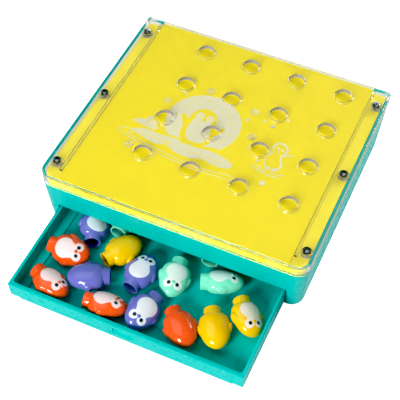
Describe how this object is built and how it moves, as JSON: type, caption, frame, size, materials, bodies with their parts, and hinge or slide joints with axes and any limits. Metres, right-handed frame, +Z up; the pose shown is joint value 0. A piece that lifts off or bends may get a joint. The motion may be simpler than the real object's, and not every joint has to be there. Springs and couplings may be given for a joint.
{
  "type": "four in a row frame",
  "caption": "Tabletop four in a row game: a box with a clear board of peg holes over a slide-in card, and a drawer of penguin pegs.",
  "frame": {"origin": "on the table under the middle of the object's bounding box, with the drawer standing open", "axes": "+Z up, +Y towards the back edge where the card comes out, -Y towards the drawer's front, +X to the right seen from the drawer"},
  "size_m": [0.1944, 0.241, 0.0468],
  "materials": {
    "teal_plastic": "moulded, satin gloss",
    "yellow_plastic": "moulded, satin",
    "card_print": "smooth yellow card with a pale cream print",
    "clear_plastic": "clear moulded plastic, polished",
    "screw_steel": "dark zinc plated",
    "peg_red": "glossy with printed white belly and eyes",
    "peg_purple": "glossy with printed white belly and eyes",
    "peg_yellow": "glossy with printed cream belly and eyes",
    "peg_mint": "glossy with printed pale belly and eyes"
  },
  "bodies": {
    "base": {"base_shell": "teal_plastic", "yellow_deck": "yellow_plastic", "clear_cover": "clear_plastic", "cover_screw_1": "screw_steel", "cover_screw_2": "screw_steel", "cover_screw_3": "screw_steel", "cover_screw_4": "screw_steel", "cover_screw_5": "screw_steel", "cover_screw_6": "screw_steel"},
    "drawer": {"drawer_tray": "teal_plastic"},
    "card": {"challenge_card": "card_print"},
    "peg_red_1": {"penguin_peg_red_1": "peg_red"},
    "peg_red_2": {"penguin_peg_red_2": "peg_red"},
    "peg_red_3": {"penguin_peg_red_3": "peg_red"},
    "peg_red_4": {"penguin_peg_red_4": "peg_red"},
    "peg_purple_1": {"penguin_peg_purple_1": "peg_purple"},
    "peg_purple_2": {"penguin_peg_purple_2": "peg_purple"},
    "peg_purple_3": {"penguin_peg_purple_3": "peg_purple"},
    "peg_purple_4": {"penguin_peg_purple_4": "peg_purple"},
    "peg_yellow_1": {"penguin_peg_yellow_1": "peg_yellow"},
    "peg_yellow_2": {"penguin_peg_yellow_2": "peg_yellow"},
    "peg_yellow_3": {"penguin_peg_yellow_3": "peg_yellow"},
    "peg_yellow_4": {"penguin_peg_yellow_4": "peg_yellow"},
    "peg_mint_1": {"penguin_peg_mint_1": "peg_mint"},
    "peg_mint_2": {"penguin_peg_mint_2": "peg_mint"},
    "peg_mint_3": {"penguin_peg_mint_3": "peg_mint"},
    "peg_mint_4": {"penguin_peg_mint_4": "peg_mint"}
  },
  "joints": [
    {"name": "drawer_slide", "type": "slide", "parent": "base", "child": "drawer", "axis": [0, -1, 0], "range_m": [-0.0705, 0.038]},
    {"name": "card_slide", "type": "slide", "parent": "base", "child": "card", "axis": [0, 1, 0], "range_m": [0, 0.172]},
    {"name": "peg_red_1_lift", "type": "slide", "parent": "drawer", "child": "peg_red_1", "axis": [0, 0, 1], "range_m": [0, 0.06]},
    {"name": "peg_red_2_lift", "type": "slide", "parent": "drawer", "child": "peg_red_2", "axis": [0, 0, 1], "range_m": [0, 0.06]},
    {"name": "peg_red_3_lift", "type": "slide", "parent": "drawer", "child": "peg_red_3", "axis": [0, 0, 1], "range_m": [0, 0.06]},
    {"name": "peg_red_4_lift", "type": "slide", "parent": "drawer", "child": "peg_red_4", "axis": [0, 0, 1], "range_m": [0, 0.06]},
    {"name": "peg_purple_1_slide_back", "type": "slide", "parent": "drawer", "child": "peg_purple_1", "axis": [-0.4067, 0.9135, 0], "range_m": [0, 0.034]},
    {"name": "peg_purple_2_lift", "type": "slide", "parent": "drawer", "child": "peg_purple_2", "axis": [0, 0, 1], "range_m": [0, 0.06]},
    {"name": "peg_purple_3_lift", "type": "slide", "parent": "drawer", "child": "peg_purple_3", "axis": [0, 0, 1], "range_m": [0, 0.06]},
    {"name": "peg_purple_4_lift", "type": "slide", "parent": "drawer", "child": "peg_purple_4", "axis": [0, 0, 1], "range_m": [0, 0.06]},
    {"name": "peg_yellow_1_lift", "type": "slide", "parent": "drawer", "child": "peg_yellow_1", "axis": [0, -0.4067, 0.9135], "range_m": [0, 0.09]},
    {"name": "peg_yellow_2_lift", "type": "slide", "parent": "drawer", "child": "peg_yellow_2", "axis": [0, 0, 1], "range_m": [0, 0.06]},
    {"name": "peg_yellow_3_lift", "type": "slide", "parent": "drawer", "child": "peg_yellow_3", "axis": [0, 0, 1], "range_m": [0, 0.06]},
    {"name": "peg_yellow_4_slide_back", "type": "slide", "parent": "drawer", "child": "peg_yellow_4", "axis": [0, 1, 0], "range_m": [0, 0.04]},
    {"name": "peg_mint_1_slide_back", "type": "slide", "parent": "drawer", "child": "peg_mint_1", "axis": [0, 1, 0], "range_m": [0, 0.04]},
    {"name": "peg_mint_2_lift", "type": "slide", "parent": "drawer", "child": "peg_mint_2", "axis": [0, 0, 1], "range_m": [0, 0.06]},
    {"name": "peg_mint_3_lift", "type": "slide", "parent": "drawer", "child": "peg_mint_3", "axis": [0, -0.4067, 0.9135], "range_m": [0, 0.09]},
    {"name": "peg_mint_4_slide_back", "type": "slide", "parent": "drawer", "child": "peg_mint_4", "axis": [0, 1, 0], "range_m": [0, 0.04]}
  ]
}
